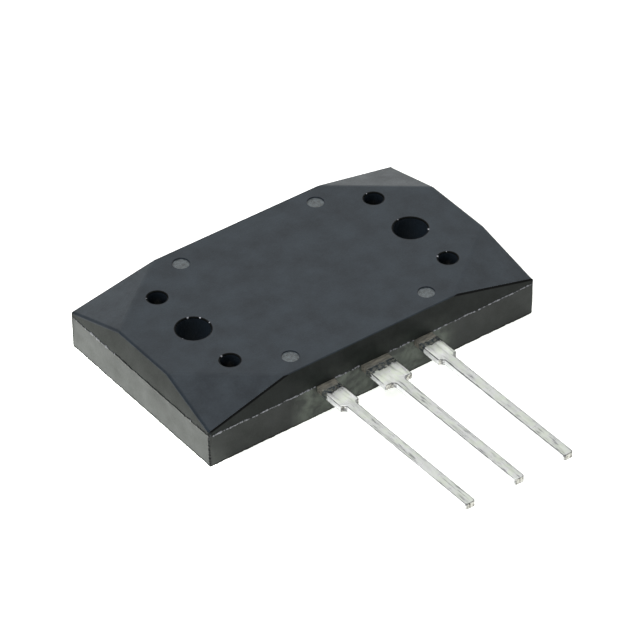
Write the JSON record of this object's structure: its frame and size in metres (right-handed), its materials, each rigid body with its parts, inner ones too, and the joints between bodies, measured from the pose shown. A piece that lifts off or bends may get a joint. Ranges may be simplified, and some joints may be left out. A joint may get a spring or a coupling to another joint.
{
  "type": "power transistor",
  "caption": "Flat moulded power transistor: bevelled black epoxy body on a nickel-plated copper header, a screw hole at each end and tinned leads along one long side.",
  "frame": {"origin": "midway between the two screw holes, on the mounting face", "axes": "+X from the screw hole on the base lead's side to the one on the emitter lead's side, -Y the way the leads point, +Z out of the top face"},
  "size_m": [0.0364, 0.0419, 0.006],
  "materials": {
    "epoxy": "spark-eroded satin, as moulded",
    "nickel_plate": "satin nickel plating on copper",
    "tinned_lead": "solder-dipped copper, semi-bright",
    "silicon": "polished, metallised",
    "solder": "dull reflowed solder",
    "bond_wire": "bright drawn wire"
  },
  "bodies": {
    "root": {"moulded_body": "epoxy", "header_plate": "nickel_plate", "base_lead": "tinned_lead", "collector_lead": "tinned_lead", "emitter_lead": "tinned_lead", "silicon_die": "silicon", "die_solder": "solder", "foot_solder": "solder", "base_wire": "bond_wire", "emitter_wire_1": "bond_wire", "emitter_wire_2": "bond_wire"}
  },
  "joints": []
}
